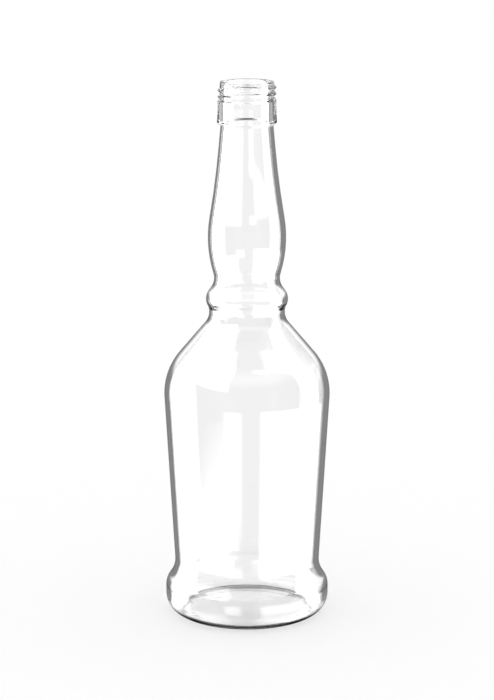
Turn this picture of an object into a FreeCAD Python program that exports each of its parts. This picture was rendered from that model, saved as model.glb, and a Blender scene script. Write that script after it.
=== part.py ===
# Empty clear glass liqueur bottle with a screw finish and a pilfer collar.
#
# One piece of glass, +Z up, standing on its bearing ring at Z = 0 with its axis
# on the Z axis. It is built the way a bottle is described on a glassmaker's
# drawing: a blank turned from the outside profile, hollowed to an even wall, a
# base pushed up into a dome in the middle, the finish ring round the mouth, and a
# right-hand thread ridge that sinks into the collar. Lengths are in millimetres.

import FreeCAD, Part
import math
import os

import Sketcher

NODE = "bottle"
AXIS_DIRECTION = FreeCAD.Vector(0, 0, 1)
SAME_LEVEL = 0.01  # edges closer in height than this count as level

# Driving dimensions. A corner of an outline is where two straight flanks would
# meet: NAME_radius from the axis, NAME_height above the ground, and NAME_round,
# the radius of the tangent arc that softens it.
SIZES = {
    "wall": 2.7,
    # blank: foot, waist and body
    "foot_radius": 42.8,
    "heel_round": 10.3,
    "foot_height": 17.3,
    "foot_round": 8.4,
    "waist_radius": 37.65,
    "waist_height": 24.1,
    "waist_round": 15.1,
    # blank: shoulder, throat and the sharp crease under the bead
    "shoulder_radius": 43.87,
    "shoulder_height": 129.5,
    "shoulder_round": 32.5,
    "throat_radius": 19.35,
    "throat_height": 158.5,
    "throat_round": 9.45,
    "crease_radius": 19.77,
    "crease_height": 163.7,
    # blank: bead, pinch, bulb and neck
    "bead_radius": 22.27,
    "bead_height": 169.45,
    "bead_round": 6.9,
    "pinch_radius": 16.1,
    "pinch_height": 177.65,
    "pinch_round": 8.8,
    "bulb_radius": 21.8,
    "bulb_height": 196.5,
    "bulb_round": 64.0,
    "neck_radius": 16.1,
    "neck_height": 230.0,
    "neck_round": 445.0,
    "mouth_radius": 13.5,
    "mouth_height": 259.0,
    "mouth_round": 20.0,
    # base: the tight corner inside, the domed floor and the push-up underneath
    "well_corner_radius": 40.12,
    "well_corner_height": 2.65,
    "well_corner_round": 4.5,
    "well_rim_radius": 39.98,
    "well_rim_height": 14.0,
    "dome_foot_radius": 37.11,
    "dome_foot_height": 1.3,
    "floor_dome_radius": 16.5,
    "floor_dome_height": 9.7,
    "floor_dome_round": 74.0,
    "floor_valley_round": 3.0,
    "push_up_foot_radius": 36.06,
    "push_up_foot_height": -2.0,
    "push_up_dome_radius": 16.0,
    "push_up_dome_height": 7.0,
    "push_up_dome_round": 70.0,
    "ring_edge_round": 1.0,
    # finish: collar, thread root and lip
    "bottle_height": 281.0,
    "finish_inner_radius": 12.2,
    "finish_foot_height": 258.2,
    "collar_edge_radius": 15.4,
    "collar_edge_height": 260.0,
    "collar_edge_round": 0.8,
    "collar_radius": 15.0,
    "collar_flare_height": 265.5,
    "collar_flare_round": 20.0,
    "collar_top_height": 271.7,
    "collar_top_round": 0.6,
    "root_radius": 13.9,
    "root_foot_round": 0.4,
    "lip_round": 1.2,
    "mouth_edge_round": 0.9,
    # thread ridge: its section where it starts, and its course from there
    "ridge_low_radius": 12.4,
    "ridge_low_height": 277.42,
    "ridge_crest_radius": 14.35,
    "ridge_crest_height": 278.72,
    "ridge_crest_round": 0.6,
    "ridge_high_height": 280.02,
    "thread_rise": 1.1,
    "thread_pitch": 3.25,
}

# The ridge's course: the angle about the axis where it starts, in degrees, its
# length and its run-in in turns, and the points that its curve passes in a turn.
THREAD_START_ANGLE = 58.0
THREAD_TURNS = 2.78
THREAD_RUN_IN_TURNS = 0.16
THREAD_POINTS_PER_TURN = 24


def make_sheet(doc):
    """Write the driving dimensions into a spreadsheet, one alias a row."""
    sheet = doc.addObject("Spreadsheet::Sheet", "sizes")
    for row, (alias, value) in enumerate(SIZES.items(), start=1):
        sheet.set("A%d" % row, alias)
        sheet.set("B%d" % row, str(value))
        sheet.setAlias("B%d" % row, alias)
    doc.recompute()
    return sheet


def origin_feature(body, role):
    """The body's own origin plane or axis with this role."""
    return next(f for f in body.Origin.OriginFeatures if f.Role == role)


def corner(sheet, name, radius=None, height=None, rounding=None):
    """A corner of an outline: each argument names the cell that drives it.

    Without arguments the cells are NAME_radius, NAME_height and NAME_round. The
    word "axis" puts the corner on the axis, "ground" on Z = 0, and "sharp" leaves
    it without a round.
    """
    cells = (radius or name + "_radius", height or name + "_height", rounding or name + "_round")
    fixed = {"axis": 0.0, "ground": 0.0, "sharp": 0.0}
    values = [fixed[cell] if cell in fixed else getattr(sheet, cell) for cell in cells]
    return {"name": name, "cells": cells, "point": FreeCAD.Vector(values[0], values[1], 0), "round": values[2]}


class Outline:
    """A closed half section in a sketch: corners, straight flanks, tangent rounds."""

    def __init__(self, body, name, corners, angle_about_axis=0.0):
        self.sketch = body.newObject("Sketcher::SketchObject", name)
        self.sketch.AttachmentSupport = [(origin_feature(body, "XZ_Plane"), "")]
        self.sketch.MapMode = "FlatFace"
        turn = FreeCAD.Rotation(FreeCAD.Vector(0, 1, 0), angle_about_axis)
        self.sketch.AttachmentOffset = FreeCAD.Placement(FreeCAD.Vector(), turn)
        self.corners = corners
        self._measure()
        self._draw_flanks()
        for index in range(len(corners)):
            self._finish_corner(index)

    def _measure(self):
        """Work out each corner's flank directions and how far its round reaches."""
        count = len(self.corners)
        for index, item in enumerate(self.corners):
            item["back"] = (self.corners[index - 1]["point"] - item["point"]).normalize()
            item["ahead"] = (self.corners[(index + 1) % count]["point"] - item["point"]).normalize()
            item["half"] = item["back"].getAngle(item["ahead"]) / 2
            item["reach"] = item["round"] / math.tan(item["half"])

    def _draw_flanks(self):
        """Draw one line from each corner to the next, short of their rounds."""
        count = len(self.corners)
        for index, item in enumerate(self.corners):
            other = self.corners[(index + 1) % count]
            start = item["point"] + item["ahead"] * item["reach"]
            end = other["point"] + other["back"] * other["reach"]
            item["flank"] = self.sketch.addGeometry(Part.LineSegment(start, end), False)

    def _finish_corner(self, index):
        """Join the flanks that meet at one corner, and drive its place and round."""
        item = self.corners[index]
        before, after = self.corners[index - 1]["flank"], item["flank"]
        if item["round"] == 0:
            self._hold("Coincident", before, 2, after, 1)
            self._place(item, after)
            return
        bisector = (item["back"] + item["ahead"]).normalize()
        start = item["point"] + item["back"] * item["reach"]
        end = item["point"] + item["ahead"] * item["reach"]
        middle = item["point"] + bisector * (item["round"] / math.sin(item["half"]) - item["round"])
        arc = self.sketch.addGeometry(Part.Arc(start, middle, end), False)
        turns_left = item["ahead"].cross(item["back"]).z > 0
        first, last = (1, 2) if turns_left else (2, 1)
        self._hold("Tangent", before, 2, arc, first)
        self._hold("Tangent", arc, last, after, 1)
        self._drive(self._hold("Radius", arc, item["round"]), item["name"] + "_round", item["cells"][2])
        apex = self.sketch.addGeometry(Part.Point(item["point"]), True)
        self._hold("PointOnObject", apex, 1, before)
        self._hold("PointOnObject", apex, 1, after)
        self._place(item, apex)

    def _place(self, item, geometry):
        """Hold a corner's point at its radius and height from the origin."""
        radius, height = item["point"].x, item["point"].y
        if item["cells"][0] == "axis":
            self._hold("PointOnObject", geometry, 1, -2)
        else:
            held = self._hold("DistanceX", -1, 1, geometry, 1, radius)
            self._drive(held, item["name"] + "_radius", item["cells"][0])
        if item["cells"][1] == "ground":
            self._hold("PointOnObject", geometry, 1, -1)
        else:
            held = self._hold("DistanceY", -1, 1, geometry, 1, height)
            self._drive(held, item["name"] + "_height", item["cells"][1])

    def _hold(self, *constraint):
        return self.sketch.addConstraint(Sketcher.Constraint(*constraint))

    def _drive(self, constraint, name, cell):
        """Name a constraint and bind it to its cell."""
        self.sketch.renameConstraint(constraint, name)
        self.sketch.setExpression("Constraints." + name, "sizes." + cell)


def turn_about_axis(body, kind, name, outline):
    """Turn an outline all the way round the bottle's axis, adding or cutting."""
    feature = body.newObject("PartDesign::" + kind, name)
    feature.Profile = outline.sketch
    feature.ReferenceAxis = (origin_feature(body, "Z_Axis"), [""])
    feature.Angle = 360
    return feature


def add_blank(doc, body, sheet):
    """The outside form below the finish, solid, with a plain tube up to the mouth."""
    corners = [
        corner(sheet, "blank_bottom", "axis", "ground", "sharp"),
        corner(sheet, "heel", "foot_radius", "ground"),
        corner(sheet, "foot"),
        corner(sheet, "waist"),
        corner(sheet, "shoulder"),
        corner(sheet, "throat"),
        corner(sheet, "crease", rounding="sharp"),
        corner(sheet, "bead"),
        corner(sheet, "pinch"),
        corner(sheet, "bulb"),
        corner(sheet, "neck"),
        corner(sheet, "mouth"),
        corner(sheet, "blank_rim", "mouth_radius", "bottle_height", "sharp"),
        corner(sheet, "blank_top", "axis", "bottle_height", "sharp"),
    ]
    blank = turn_about_axis(body, "Revolution", "blank", Outline(body, "blank_outline", corners))
    doc.recompute()
    return blank


def hollow_blank(doc, body, blank):
    """Hollow the blank from its open top to an even wall."""
    faces = blank.Shape.Faces
    top = max(range(len(faces)), key=lambda index: faces[index].CenterOfMass.z)
    hollow = body.newObject("PartDesign::Thickness", "hollow")
    hollow.Base = (blank, ["Face%d" % (top + 1)])
    hollow.setExpression("Value", "sizes.wall")
    hollow.Reversed = True
    hollow.Mode = "Skin"
    hollow.Join = "Arc"
    doc.recompute()
    return hollow


def shape_floor(doc, body, sheet):
    """Tighten the corner between wall and floor, then raise the floor's middle."""
    well = [
        corner(sheet, "well_middle", "axis", "well_corner_height", "sharp"),
        corner(sheet, "well_corner"),
        corner(sheet, "well_rim", rounding="sharp"),
        corner(sheet, "well_top", "axis", "well_rim_height", "sharp"),
    ]
    turn_about_axis(body, "Groove", "well", Outline(body, "well_outline", well))
    doc.recompute()
    rise = [
        corner(sheet, "dome_bottom", "axis", "dome_foot_height", "sharp"),
        corner(sheet, "dome_foot", rounding="sharp"),
        corner(sheet, "floor_dome"),
        corner(sheet, "floor_middle", "axis", "floor_dome_height", "sharp"),
    ]
    dome = turn_about_axis(body, "Revolution", "floor", Outline(body, "floor_outline", rise))
    doc.recompute()
    soften_edge(doc, body, dome, "floor_valley", "floor_valley_round", valley_edge)


def cut_push_up(doc, body, sheet):
    """Hollow the underside, which leaves a narrow bearing ring with a soft inner edge."""
    corners = [
        corner(sheet, "push_up_bottom", "axis", "push_up_foot_height", "sharp"),
        corner(sheet, "push_up_foot", rounding="sharp"),
        corner(sheet, "push_up_dome"),
        corner(sheet, "push_up_middle", "axis", "push_up_dome_height", "sharp"),
    ]
    groove = turn_about_axis(body, "Groove", "push_up", Outline(body, "push_up_outline", corners))
    doc.recompute()
    soften_edge(doc, body, groove, "bearing_ring", "ring_edge_round", lowest_inner_edge)


def add_finish(doc, body, sheet):
    """The ring round the mouth: pilfer collar, thread root and rounded lip."""
    corners = [
        corner(sheet, "finish_foot", "finish_inner_radius", rounding="sharp"),
        corner(sheet, "collar_edge"),
        corner(sheet, "collar_flare", "collar_radius"),
        corner(sheet, "collar_top", "collar_radius"),
        corner(sheet, "root_foot", "root_radius", "collar_top_height"),
        corner(sheet, "lip", "root_radius", "bottle_height"),
        corner(sheet, "finish_top", "finish_inner_radius", "bottle_height", "sharp"),
    ]
    finish = turn_about_axis(body, "Revolution", "finish", Outline(body, "finish_outline", corners))
    doc.recompute()
    soften_edge(doc, body, finish, "mouth", "mouth_edge_round", highest_inner_edge)


def circles(shape):
    """The shape's full circular edges round the axis, with their numbers."""
    found = []
    for number, edge in enumerate(shape.Edges, start=1):
        if isinstance(edge.Curve, Part.Circle) and edge.isClosed():
            found.append((number, edge.Curve.Radius, edge.Curve.Center.z))
    return found


def lowest_inner_edge(shape):
    """The smallest circle at ground level, where the push-up meets the bearing ring."""
    return min((c for c in circles(shape) if abs(c[2]) < SAME_LEVEL), key=lambda c: c[1])[0]


def valley_edge(shape):
    """The smallest circle at floor level inside, where the dome rises from the floor."""
    above = [c for c in circles(shape) if c[2] > SAME_LEVEL]
    floor = min(c[2] for c in above)
    return min((c for c in above if c[2] - floor < SAME_LEVEL), key=lambda c: c[1])[0]


def highest_inner_edge(shape):
    """The smallest circle at the top of the lip, round the bore."""
    top = max(c[2] for c in circles(shape))
    return min((c for c in circles(shape) if abs(c[2] - top) < SAME_LEVEL), key=lambda c: c[1])[0]


def soften_edge(doc, body, base, name, cell, choose):
    """Fillet the one circular edge that choose() picks."""
    fillet = body.newObject("PartDesign::Fillet", name)
    fillet.Base = (base, ["Edge%d" % choose(base.Shape)])
    fillet.setExpression("Radius", "sizes." + cell)
    doc.recompute()


def thread_course(sheet):
    """Points of a right-hand helix, going down, that swells out of the finish at first."""
    count = round(THREAD_TURNS * THREAD_POINTS_PER_TURN)
    points = []
    for step in range(count + 1):
        turn = step / THREAD_POINTS_PER_TURN
        run_in = min(1.0, turn / THREAD_RUN_IN_TURNS)
        radius = sheet.root_radius + sheet.thread_rise * (1 - math.cos(math.pi * run_in)) / 2
        angle = math.radians(THREAD_START_ANGLE) - 2 * math.pi * turn
        height = sheet.ridge_crest_height - sheet.thread_pitch * turn
        points.append(FreeCAD.Vector(radius * math.cos(angle), radius * math.sin(angle), height))
    return points


def add_thread(doc, body, sheet):
    """The thread ridge: a rounded section carried along its course, always upright."""
    curve = Part.BSplineCurve()
    curve.interpolate(thread_course(sheet))
    course = doc.addObject("Part::Feature", "thread_course")
    course.Shape = curve.toShape()
    corners = [
        corner(sheet, "ridge_low", rounding="sharp"),
        corner(sheet, "ridge_crest"),
        corner(sheet, "ridge_high", "ridge_low_radius", rounding="sharp"),
    ]
    ridge = Outline(body, "ridge_outline", corners, THREAD_START_ANGLE)
    thread = body.newObject("PartDesign::AdditivePipe", "thread")
    thread.Profile = ridge.sketch
    thread.Spine = (course, ["Edge1"])
    thread.Mode = "Binormal"
    thread.Binormal = AXIS_DIRECTION
    doc.recompute()


def check(doc, body):
    """Stop if any object failed to build, or the bottle isn't one sound solid."""
    for item in doc.Objects:
        if "Invalid" in item.State or "Error" in item.State:
            raise RuntimeError("%s failed: %s" % (item.Name, item.State))
        if item.TypeId == "Sketcher::SketchObject" and not item.FullyConstrained:
            raise RuntimeError("%s is not fully constrained" % item.Name)
    shape = body.Shape
    if shape.isNull() or not shape.isValid() or len(shape.Solids) != 1:
        raise RuntimeError("%s is not one valid solid" % body.Label)


def main():
    doc = FreeCAD.newDocument("liqueur_bottle")
    sheet = make_sheet(doc)
    body = doc.addObject("PartDesign::Body", NODE)
    body.Label = NODE
    body.Placement = FreeCAD.Placement()
    blank = add_blank(doc, body, sheet)
    hollow_blank(doc, body, blank)
    shape_floor(doc, body, sheet)
    cut_push_up(doc, body, sheet)
    add_finish(doc, body, sheet)
    add_thread(doc, body, sheet)
    doc.recompute()
    check(doc, body)
    os.makedirs("parts", exist_ok=True)
    body.Shape.exportStep("parts/%s.step" % NODE)
    print("%s: %.1f cm3 of glass, %d faces" % (NODE, body.Shape.Volume / 1000, len(body.Shape.Faces)))


main()
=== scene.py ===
"""Looks of an empty clear glass liqueur bottle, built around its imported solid.

The bottle is one piece of flint glass: a turned wall with a bulging foot, a body
that tapers downwards, a cone shoulder, a bead, a bulbous neck and a screw finish.
It stands on a plain pale floor in soft studio light.
"""

import logging
import math
from dataclasses import dataclass, field, replace
from enum import Enum
from typing import ClassVar, Iterator, Sequence

import bpy
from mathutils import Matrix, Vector


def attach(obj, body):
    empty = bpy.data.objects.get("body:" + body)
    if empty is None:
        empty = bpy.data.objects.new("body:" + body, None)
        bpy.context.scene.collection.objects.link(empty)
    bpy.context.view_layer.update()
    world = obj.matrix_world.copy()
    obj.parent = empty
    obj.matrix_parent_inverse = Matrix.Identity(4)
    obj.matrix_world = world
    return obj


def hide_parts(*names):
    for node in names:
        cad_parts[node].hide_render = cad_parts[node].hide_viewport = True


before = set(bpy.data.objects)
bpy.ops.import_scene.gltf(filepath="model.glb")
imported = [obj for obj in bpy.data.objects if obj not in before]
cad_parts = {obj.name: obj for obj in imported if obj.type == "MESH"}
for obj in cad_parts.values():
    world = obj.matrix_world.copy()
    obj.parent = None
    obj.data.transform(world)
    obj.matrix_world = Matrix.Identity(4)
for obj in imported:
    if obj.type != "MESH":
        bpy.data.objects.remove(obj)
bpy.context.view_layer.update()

LOG = logging.getLogger("liqueur_bottle")
MM = 0.001
NODE = "bottle"
BODY = "root"
WHITE = (1.0, 1.0, 1.0, 1.0)

# Shorter reaches between two points are none at all, in millimetres.
NO_REACH = 1e-6
# Points of the turned wall that lie closer than this are one, in metres.
WELD = 1e-7

Socket = bpy.types.NodeSocket
Sockets = bpy.types.bpy_prop_collection


class Zone(Enum):
    """Where a point of the glass section lies, which decides how it is finished."""

    PLAIN = 0
    FINISH = 1


@dataclass(frozen=True)
class Corner:
    """A corner of a turned outline, in millimetres.

    Two straight flanks would meet at this radius and height, and a tangent arc of
    the given round softens them.
    """

    radius: float
    height: float
    round: float = 0.0
    zone: Zone = Zone.PLAIN

    def place(self) -> Vector:
        """The corner as a point of the section plane."""
        return Vector((self.radius, self.height))


@dataclass(frozen=True)
class SectionPoint:
    """One point of the section that is turned about the axis."""

    place: Vector
    zone: Zone


@dataclass(frozen=True)
class Outline:
    """A run of corners, joined by straight flanks and softened by tangent arcs.

    An arc's step is in radians, and the steps along a flank are in millimetres.
    """

    corners: Sequence[Corner]
    arc_step: float = math.radians(4.0)
    fewest_arc_steps: int = 3
    flank_step: float = 6.0
    finish_step: float = 0.16

    def parallel(self, distance: float) -> "Outline":
        """The outline moved to its left by a distance, with its arcs kept round.

        Args:
            distance: how far each flank moves, in millimetres.

        Returns:
            An outline whose flanks run beside this one's.
        """
        moved = []
        for index, corner in enumerate(self.corners):
            before, after = self._directions(index)
            left_before = Vector((-before.y, before.x))
            left_after = Vector((-after.y, after.x))
            middle = left_before + left_after
            shift = middle * (distance / (1.0 + left_before.dot(left_after)))
            place = corner.place() + shift
            arc = corner.round - distance * self._turn(before, after)
            arc = max(arc, 0.0) if corner.round else 0.0
            moved.append(Corner(place.x, place.y, arc, corner.zone))
        return replace(self, corners=moved)

    @staticmethod
    def _turn(before: Vector, after: Vector) -> float:
        """1 where the outline turns left between two directions, otherwise -1."""
        return 1.0 if before.x * after.y - before.y * after.x > 0 else -1.0

    def _directions(self, index: int) -> tuple[Vector, Vector]:
        """The directions of the flanks before and after a corner.

        Args:
            index: the corner's number in the outline.

        Returns:
            Two directions of length 1, which are the same at the outline's ends.
        """
        places = [corner.place() for corner in self.corners]
        last = len(places) - 1
        before = places[index] - places[index - 1] if index > 0 else places[1] - places[0]
        after = places[index + 1] - places[index] if index < last else before
        return before.normalized(), after.normalized()

    def points(self) -> Iterator[SectionPoint]:
        """The outline's points in order, close together on arcs and on the finish.

        Returns:
            The points, each with the zone of the corner that it leads to or belongs to.
        """
        last_end = None
        for index, corner in enumerate(self.corners):
            before, after = self._directions(index)
            half_turn = before.angle(after) / 2
            reach = corner.round * math.tan(half_turn)
            start = corner.place() - before * reach
            if last_end is not None:
                yield from self._flank(last_end, start, corner.zone)
            if reach > NO_REACH:
                yield from self._arc(corner, before, after, half_turn)
            else:
                yield SectionPoint(corner.place(), corner.zone)
            last_end = corner.place() + after * reach

    def _flank(self, start: Vector, end: Vector, zone: Zone) -> Iterator[SectionPoint]:
        """Points strictly between the two ends of a flank.

        Args:
            start: where the flank begins.
            end: where it ends.
            zone: how it is finished, which sets how close the points are.

        Returns:
            The points from the start to the end, without the two.
        """
        step = self.finish_step if zone is Zone.FINISH else self.flank_step
        count = max(1, math.ceil((end - start).length / step))
        for part in range(1, count):
            yield SectionPoint(start.lerp(end, part / count), zone)

    def _arc(
        self, corner: Corner, before: Vector, after: Vector, half_turn: float
    ) -> Iterator[SectionPoint]:
        """Points along a corner's tangent arc, both ends included.

        Args:
            corner: the corner that the arc softens.
            before: the direction of the flank that comes in.
            after: the direction of the flank that goes out.
            half_turn: half the angle between the two, in radians.

        Returns:
            The arc's points, in the outline's order.
        """
        inward = Vector((-before.y, before.x)) * self._turn(before, after)
        start = corner.place() - before * corner.round * math.tan(half_turn)
        centre = start + inward * corner.round
        count = max(self.fewest_arc_steps, math.ceil(2 * half_turn / self.arc_step))
        for part in range(count + 1):
            angle = 2 * half_turn * part / count
            outward = -inward * math.cos(angle) + before * math.sin(angle)
            yield SectionPoint(centre + outward * corner.round, corner.zone)


@dataclass(frozen=True)
class ClearGlass:
    """Fire-polished flint glass, smooth and without colour."""

    slot: str = "clear_glass"
    ior: float = 1.5

    def material(self) -> bpy.types.Material:
        """Build the node material.

        Returns:
            The material, named for its slot.
        """
        material = bpy.data.materials.new(self.slot)
        material.use_nodes = True
        shader = material.node_tree.nodes["Principled BSDF"]
        shader.inputs["Base Color"].default_value = WHITE
        shader.inputs["Roughness"].default_value = 0.0
        shader.inputs["IOR"].default_value = self.ior
        shader.inputs["Transmission Weight"].default_value = 1.0
        return material


class NodeWriter:
    """Adds nodes to a geometry or shader tree and links them as it goes."""

    def __init__(self, tree: bpy.types.NodeTree) -> None:
        """Start writing into a tree."""
        self.tree = tree

    def node(
        self, kind: str, inputs: dict[str | int, object] | None = None, **settings: object
    ) -> bpy.types.Node:
        """Add one node.

        Args:
            kind: the node's type name.
            inputs: values or output sockets for its inputs, by name or index.
            settings: its other properties.

        Returns:
            The new node.
        """
        node = self.tree.nodes.new(kind)
        for name, value in settings.items():
            setattr(node, name, value)
        for key, value in (inputs or {}).items():
            if isinstance(value, Socket):
                self.tree.links.new(value, node.inputs[key])
            else:
                node.inputs[key].default_value = value
        return node

    def math(self, operation: str, *values: float | Socket) -> Socket:
        """The result of a Math node on up to three values or sockets."""
        return self.node("ShaderNodeMath", dict(enumerate(values)), operation=operation).outputs[0]

    def ramp(
        self, value: Socket, low: float | Socket, high: float | Socket, falls: bool = False
    ) -> Socket:
        """A smooth step from 0 to 1 as a value goes from one bound to another.

        Args:
            value: the value that is looked at.
            low: where the step begins.
            high: where the step ends.
            falls: whether it goes from 1 to 0 instead.

        Returns:
            The step's height at the value.
        """
        return self.node(
            "ShaderNodeMapRange",
            {
                "Value": value,
                "From Min": low,
                "From Max": high,
                "To Min": 1.0 if falls else 0.0,
                "To Max": 0.0 if falls else 1.0,
            },
            interpolation_type="SMOOTHSTEP",
        ).outputs[0]


@dataclass(frozen=True)
class Thread:
    """The right-hand ridge round the finish, in millimetres, degrees and turns.

    A greater sharpness narrows its crest. It is left out where it would rise by less
    than the least share of its full height.
    """

    root_radius: float = 13.9
    root_round: float = 0.4
    rise: float = 1.1
    sharpness: float = 1.6
    least_share: float = 0.001
    half_width: float = 1.2
    pitch: float = 3.25
    start_height: float = 278.72
    start_angle: float = 58.0
    turns: float = 2.78
    run_in: float = 0.16
    blend: float = 0.25


@dataclass
class Bottle:
    """The whole bottle: its section, turned about the axis, with the thread raised on it."""

    wall: float = 2.7
    height: float = 281.0
    bore_radius: float = 10.8
    bore_round: float = 0.9
    lip_round: float = 1.2
    segments: int = 180
    thread: Thread = field(default_factory=Thread)
    glass: ClearGlass = field(default_factory=ClearGlass)

    foot: Sequence[Corner] = (
        Corner(42.8, 0.0, 10.3),
        Corner(42.8, 17.3, 8.4),
        Corner(37.65, 24.1, 15.1),
    )
    shoulder: Sequence[Corner] = (
        Corner(43.87, 129.5, 32.5),
        Corner(19.35, 158.5, 9.45),
        Corner(19.77, 163.7, 0.4),
    )
    neck: Sequence[Corner] = (
        Corner(22.27, 169.45, 6.9),
        Corner(16.1, 177.65, 8.8),
        Corner(21.8, 196.5, 64.0),
        Corner(16.1, 230.0, 445.0),
    )
    mouth: Corner = Corner(13.5, 259.0, 20.0)
    collar: Sequence[Corner] = (
        Corner(13.52, 258.95, 0.5),
        Corner(15.4, 260.0, 0.8),
        Corner(15.0, 265.5, 20.0),
        Corner(15.0, 271.7, 0.6, Zone.FINISH),
    )
    underside: Sequence[Corner] = (
        Corner(0.0, 7.0),
        Corner(16.0, 7.0, 70.0),
        Corner(31.6, 0.0, 1.0),
    )
    floor: Sequence[Corner] = (
        Corner(40.1, 2.7, 4.5),
        Corner(33.8, 2.7, 3.0),
        Corner(16.5, 9.7, 74.0),
        Corner(0.0, 9.7),
    )

    def finish(self) -> Sequence[Corner]:
        """The corners of the collar, the thread's root and the lip.

        Returns:
            The corners, up the outside.
        """
        root = self.thread.root_radius
        return (
            *self.collar,
            Corner(root, self.collar[-1].height, self.thread.root_round, Zone.FINISH),
            Corner(root, self.height, self.lip_round, Zone.FINISH),
        )

    def section(self) -> list[SectionPoint]:
        """The glass section from the underside's middle, up and over, to the floor's.

        The inside runs beside the outside, a wall's thickness in, from above the foot's
        lowest corner to the mouth. The bore and the floor have corners of their own.

        Returns:
            The section's points, with both ends on the axis.
        """
        sides = [*self.foot, *self.shoulder, *self.neck]
        skin = Outline([*sides, self.mouth, Corner(self.mouth.radius, self.height)])
        beside = skin.parallel(self.wall).corners[1:-1]
        bore = Corner(self.bore_radius, self.height, self.bore_round)
        corners = [*self.underside, *sides, *self.finish(), bore, *reversed(beside), *self.floor]
        return list(Outline(corners).points())

    def build(self) -> bpy.types.Object:
        """Turn the section, raise the thread and dress the result.

        Returns:
            The finished piece, a plain closed mesh in metres.
        """
        section = self._section_object()
        tree = self._lathe_tree()
        modifier = section.modifiers.new("Lathe", "NODES")
        modifier.node_group = tree
        for name, value in self._lathe_values().items():
            modifier[tree.interface.items_tree[name].identifier] = value
        graph = bpy.context.evaluated_depsgraph_get()
        mesh = bpy.data.meshes.new_from_object(section.evaluated_get(graph), depsgraph=graph)
        section.modifiers.clear()
        mesh.name = "bottle_glass"
        piece = bpy.data.objects.new("bottle_glass", mesh)
        bpy.context.scene.collection.objects.link(piece)
        bpy.data.objects.remove(section)
        return piece

    def _section_object(self) -> bpy.types.Object:
        """The section as a chain of points, marked where the thread may rise.

        Returns:
            A mesh object of edges alone, in metres, in the XZ plane.
        """
        points = self.section()
        mesh = bpy.data.meshes.new("bottle_section")
        places = [(p.place.x * MM, 0.0, p.place.y * MM) for p in points]
        mesh.from_pydata(places, [(i, i + 1) for i in range(len(points) - 1)], [])
        marks = mesh.attributes.new("finish", "FLOAT", "POINT")
        marks.data.foreach_set("value", [float(p.zone is Zone.FINISH) for p in points])
        section = bpy.data.objects.new("bottle_section", mesh)
        bpy.context.scene.collection.objects.link(section)
        return section

    def _lathe_values(self) -> dict[str, object]:
        """The lathe tree's inputs, in metres and radians.

        Returns:
            The value of each input, by its name.
        """
        thread = self.thread
        return {
            "Segments": self.segments,
            "Root Radius": thread.root_radius * MM,
            "Thread Rise": thread.rise * MM,
            "Thread Sharpness": thread.sharpness,
            "Thread Least Share": thread.least_share,
            "Thread Half Width": thread.half_width * MM,
            "Thread Pitch": thread.pitch * MM,
            "Thread Start Height": thread.start_height * MM,
            "Thread Start Angle": math.radians(thread.start_angle),
            "Thread Turns": thread.turns,
            "Thread Run In": thread.run_in,
            "Thread Blend": thread.blend * MM,
            "Material": self.glass.material(),
        }

    def _lathe_tree(self) -> bpy.types.NodeTree:
        """A tree that turns a section about Z and raises a helical ridge on it.

        Returns:
            The tree, with the section first among its inputs.
        """
        tree = bpy.data.node_groups.new("Lathe", "GeometryNodeTree")
        face = tree.interface
        face.new_socket("Geometry", in_out="OUTPUT", socket_type="NodeSocketGeometry")
        face.new_socket("Section", in_out="INPUT", socket_type="NodeSocketGeometry")
        for name, value in self._lathe_values().items():
            kind = {int: "Int", float: "Float"}.get(type(value), "Material")
            face.new_socket(name, in_out="INPUT", socket_type="NodeSocket" + kind)
        write = NodeWriter(tree)
        given = write.node("NodeGroupInput").outputs
        size = write.node("GeometryNodeAttributeDomainSize", {"Geometry": given["Section"]})
        count = size.outputs["Point Count"]
        columns = write.math("ADD", given["Segments"], 1)
        grid = write.node("GeometryNodeMeshGrid", {"Vertices X": columns, "Vertices Y": count})
        index = write.node("GeometryNodeInputIndex").outputs[0]
        column = write.math("FLOOR", write.math("DIVIDE", index, count))
        row = write.math("SUBTRACT", index, write.math("MULTIPLY", column, count))
        angle = write.math("MULTIPLY", math.tau, write.math("DIVIDE", column, given["Segments"]))
        position = write.node("GeometryNodeInputPosition").outputs[0]
        place = self._sample(write, given["Section"], row, "FLOAT_VECTOR", position)
        mark = write.node("GeometryNodeInputNamedAttribute", {"Name": "finish"}, data_type="FLOAT")
        allowed = self._sample(write, given["Section"], row, "FLOAT", mark.outputs[0])
        split = write.node("ShaderNodeSeparateXYZ", {0: place})
        radius, height = split.outputs["X"], split.outputs["Z"]
        ridge = self._ridge(write, given, angle, height)
        raised = write.math("SMOOTH_MAX", radius, ridge, given["Thread Blend"])
        gain = write.math("MULTIPLY", allowed, write.math("SUBTRACT", raised, radius))
        radius = write.math("ADD", radius, gain)
        turned = write.node("ShaderNodeCombineXYZ", {
            "X": write.math("MULTIPLY", radius, write.math("COSINE", angle)),
            "Y": write.math("MULTIPLY", radius, write.math("SINE", angle)),
            "Z": height,
        })
        piece = grid.outputs["Mesh"]
        for kind, inputs in (
            ("GeometryNodeSetPosition", {"Position": turned.outputs[0]}),
            ("GeometryNodeMergeByDistance", {"Distance": WELD}),
            ("GeometryNodeSetShadeSmooth", {"Shade Smooth": True}),
            ("GeometryNodeRealizeInstances", {}),
            ("GeometryNodeSetMaterial", {"Material": given["Material"]}),
        ):
            piece = write.node(kind, {"Geometry": piece, **inputs}).outputs[0]
        write.node("NodeGroupOutput", {"Geometry": piece})
        return tree

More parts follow.
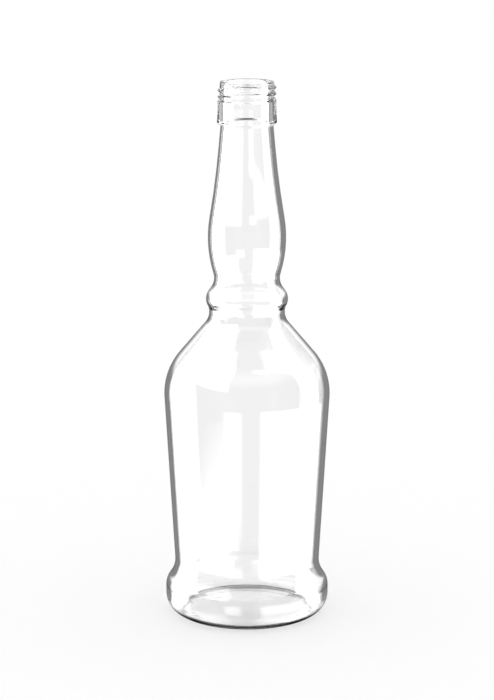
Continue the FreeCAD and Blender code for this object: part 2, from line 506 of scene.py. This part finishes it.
    @staticmethod
    def _sample(write: NodeWriter, source: Socket, row: Socket, kind: str, value: Socket) -> Socket:
        """A value read from one point of the section.

        Args:
            write: the tree's writer.
            source: the section.
            row: the point's number along it.
            kind: the value's data type.
            value: the field that is read.

        Returns:
            The field's value at that point.
        """
        inputs = {"Geometry": source, "Value": value, "Index": row}
        return write.node("GeometryNodeSampleIndex", inputs, data_type=kind).outputs[0]

    @staticmethod
    def _ridge(write: NodeWriter, given: Sockets, angle: Socket, height: Socket) -> Socket:
        """The radius of the ridge's surface at each angle and height.

        Args:
            write: the tree's writer.
            given: the group's inputs.
            angle: the angle about the axis, from 0 to a full turn.
            height: the height of the point.

        Returns:
            A radius, which is the blend's depth below the root where there is no ridge.
        """
        drop = write.math("SUBTRACT", given["Thread Start Height"], height)
        down = write.math("DIVIDE", drop, given["Thread Pitch"])
        behind = write.math("SUBTRACT", given["Thread Start Angle"], angle)
        behind = write.math("FLOORED_MODULO", write.math("DIVIDE", behind, math.tau), 1.0)
        whole = write.math("ROUND", write.math("SUBTRACT", down, behind))
        turn = write.math("ADD", whole, behind)
        off = write.math("MULTIPLY", write.math("SUBTRACT", down, turn), given["Thread Pitch"])
        across = write.math("DIVIDE", write.math("ABSOLUTE", off), given["Thread Half Width"])
        across = write.math("MULTIPLY", write.math("MINIMUM", across, 1.0), math.pi / 2)
        bump = write.math("POWER", write.math("COSINE", across), given["Thread Sharpness"])
        entry = write.ramp(turn, 0.0, given["Thread Run In"])
        left = write.math("SUBTRACT", given["Thread Turns"], turn)
        leaving = write.ramp(left, 0.0, given["Thread Run In"])
        share = write.math("MULTIPLY", bump, write.math("MULTIPLY", entry, leaving))
        lowered = write.math("SUBTRACT", given["Root Radius"], given["Thread Blend"])
        gone = write.math("LESS_THAN", share, given["Thread Least Share"])
        rise = write.math("MULTIPLY", given["Thread Rise"], share)
        ridge = write.math("ADD", given["Root Radius"], rise)
        sunk = write.math("MULTIPLY", gone, write.math("SUBTRACT", ridge, lowered))
        return write.math("SUBTRACT", ridge, sunk)


@dataclass(frozen=True)
class Softbox:
    """A panel of the studio, by where its middle stands and how much it spans.

    Angles are in degrees. Azimuth is 0 towards the camera and grows to its right as
    the camera sees it, and elevation is 0 on the horizon. An edge is faded over its own
    angle to either side, and a panel whose strength is near 0 is a dark one.
    """

    ANGLES: ClassVar[Sequence[str]] = (
        "Azimuth", "Width", "Elevation", "Height", "Side Edge", "End Edge",
    )

    azimuth: float
    width: float
    elevation: float
    height: float
    strength: float = 3.0
    side_edge: float = 1.5
    end_edge: float = 1.5

    def angles(self) -> dict[str, float]:
        """Its angles in radians, by the names of the group's inputs."""
        values = (
            self.azimuth, self.width, self.elevation, self.height, self.side_edge, self.end_edge,
        )
        return {name: math.radians(value) for name, value in zip(self.ANGLES, values)}


@dataclass(frozen=True)
class Studio:
    """Floor, world, softboxes and camera.

    Lengths are in metres, and the lens in millimetres. The floor's grey is the colour
    that takes the bottle's shadow, and its glow lifts it to the pale tone that is seen.
    A later softbox covers the earlier ones where they overlap.
    """

    camera_distance: float = 1.330
    camera_height: float = 0.43495
    aim_height: float = 0.1411
    lens: float = 134.6
    floor_size: float = 8.0
    floor_grey: float = 0.45
    floor_glow: float = 0.55
    room: float = 0.25
    softboxes: Sequence[Softbox] = (
        # The pale wall behind the bottle, and below it a dark panel of painted shade for the shaded
        # ground there, seen as the dark rim of the foot.
        Softbox(180.0, 140.0, 27.0, 50.0, strength=1.1, side_edge=6.0, end_edge=4.0),
        Softbox(180.0, 120.0, -36.0, 32.0, strength=0.04),
        # A soft ring of light overhead.
        Softbox(0.0, 360.0, 46.0, 22.0, strength=1.2, end_edge=10.0),
        # Tall panels at the left and the right, and a broad one high in front on the left.
        Softbox(-114.0, 48.0, 15.0, 90.0),
        Softbox(102.0, 34.0, 15.0, 90.0),
        Softbox(-60.0, 62.0, 42.0, 44.0),
        # A low strip in front, and bounce boards under the left and the right.
        Softbox(-20.5, 23.0, -19.6, 7.4, side_edge=5.0, end_edge=0.8),
        Softbox(-58.0, 56.0, -41.0, 40.0, side_edge=6.0),
        Softbox(75.0, 110.0, -38.0, 46.0, side_edge=4.0),
    )

    def build(self) -> None:
        """Set the stage round the bottle."""
        self._floor()
        self._world()
        self._camera()

    def _camera(self) -> None:
        """A long lens in front of the bottle, looking a little down on it."""
        data = bpy.data.cameras.new("camera")
        data.lens = self.lens
        camera = bpy.data.objects.new("camera", data)
        camera.location = (0.0, -self.camera_distance, self.camera_height)
        aim = Vector((0.0, self.camera_distance, self.aim_height - self.camera_height))
        camera.rotation_euler = aim.to_track_quat("-Z", "Y").to_euler()
        bpy.context.scene.collection.objects.link(camera)
        bpy.context.scene.camera = camera

    @staticmethod
    def _reflected(write: NodeWriter, plain: Socket, reflected: Socket) -> Socket:
        """A shader that changes for a ray that has met a mirror-like surface.

        Args:
            write: the writer of the material's or the world's tree.
            plain: the shader for a ray that has met none.
            reflected: the shader for a ray that has been reflected at least once.

        Returns:
            The shader that picks between the two.
        """
        bounces = write.node("ShaderNodeLightPath").outputs["Glossy Depth"]
        any_bounce = write.math("GREATER_THAN", bounces, 0.5)
        return write.node("ShaderNodeMixShader", {0: any_bounce, 1: plain, 2: reflected}).outputs[0]

    def _floor(self) -> None:
        """A plain pale floor, open to reflections so that they see the panels below it."""
        half = self.floor_size / 2
        mesh = bpy.data.meshes.new("floor")
        places = [(-half, -half, 0), (half, -half, 0), (half, half, 0), (-half, half, 0)]
        mesh.from_pydata(places, [], [(0, 1, 2, 3)])
        floor = bpy.data.objects.new("floor", mesh)
        bpy.context.scene.collection.objects.link(floor)
        material = bpy.data.materials.new("floor")
        material.use_nodes = True
        material.node_tree.nodes.clear()
        write = NodeWriter(material.node_tree)
        grey = (self.floor_grey, self.floor_grey, self.floor_grey, 1.0)
        matte = write.node("ShaderNodeBsdfDiffuse", {"Color": grey})
        glow = write.node("ShaderNodeEmission", {"Strength": self.floor_glow})
        lit = write.node("ShaderNodeAddShader", {0: matte.outputs[0], 1: glow.outputs[0]})
        gap = write.node("ShaderNodeBsdfTransparent")
        seen = self._reflected(write, lit.outputs[0], gap.outputs[0])
        write.node("ShaderNodeOutputMaterial", {"Surface": seen})
        mesh.materials.append(material)

    @staticmethod
    def _softbox_group() -> bpy.types.NodeTree:
        """A group that lays one soft-edged panel over the brightness behind it.

        Returns:
            The group, which takes a direction, the brightness so far and the panel.
        """
        tree = bpy.data.node_groups.new("Softbox", "ShaderNodeTree")
        face = tree.interface
        face.new_socket("Direction", in_out="INPUT", socket_type="NodeSocketVector")
        for name in ("Behind", "Strength", *Softbox.ANGLES):
            face.new_socket(name, in_out="INPUT", socket_type="NodeSocketFloat")
        face.new_socket("Brightness", in_out="OUTPUT", socket_type="NodeSocketFloat")
        write = NodeWriter(tree)
        given = write.node("NodeGroupInput").outputs
        ahead = write.node(
            "ShaderNodeVectorRotate",
            {
                "Vector": given["Direction"],
                "Axis": (0.0, 0.0, 1.0),
                "Angle": write.math("MULTIPLY", given["Azimuth"], -1.0),
            },
            rotation_type="AXIS_ANGLE",
        )
        split = write.node("ShaderNodeSeparateXYZ", {0: ahead.outputs[0]})
        right, back, up = (split.outputs[axis] for axis in "XYZ")
        azimuth = write.math("ARCTAN2", right, write.math("MULTIPLY", back, -1.0))
        elevation = write.math("SUBTRACT", write.math("ARCSINE", up), given["Elevation"])
        covers = []
        for off, span, edge in ((azimuth, "Width", "Side Edge"), (elevation, "Height", "End Edge")):
            half = write.math("MULTIPLY", given[span], 0.5)
            inner = write.math("SUBTRACT", half, given[edge])
            outer = write.math("ADD", half, given[edge])
            covers.append(write.ramp(write.math("ABSOLUTE", off), inner, outer, falls=True))
        cover = write.math("MULTIPLY", *covers)
        seen = write.node("ShaderNodeMix", {0: cover, 2: given["Behind"], 3: given["Strength"]})
        write.node("NodeGroupOutput", {"Brightness": seen.outputs[0]})
        return tree

    def _world(self) -> None:
        """A white backdrop, and a grey room with softboxes in it for reflections."""
        world = bpy.data.worlds.new("studio")
        bpy.context.scene.world = world
        world.use_nodes = True
        world.node_tree.nodes.clear()
        write = NodeWriter(world.node_tree)
        direction = write.node("ShaderNodeTexCoord").outputs["Generated"]
        group = self._softbox_group()
        brightness = self.room
        for box in self.softboxes:
            lights = {"Direction": direction, "Behind": brightness, "Strength": box.strength}
            panel = write.node("ShaderNodeGroup", lights | box.angles(), node_tree=group)
            brightness = panel.outputs[0]
        backdrop = write.node("ShaderNodeBackground", {"Color": WHITE})
        room = write.node("ShaderNodeBackground", {"Color": WHITE, "Strength": brightness})
        seen = self._reflected(write, backdrop.outputs[0], room.outputs[0])
        write.node("ShaderNodeOutputWorld", {"Surface": seen})


def main() -> None:
    """Build the bottle and its stage, and report each piece."""
    logging.basicConfig(level=logging.INFO, format="%(name)s: %(message)s")
    bpy.context.scene.view_settings.view_transform = "Standard"
    bottle = Bottle().build()
    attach(bottle, BODY)
    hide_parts(NODE)
    LOG.info("%s: %d faces", bottle.name, len(bottle.data.polygons))
    Studio().build()


if __name__ == "__main__":
    main()
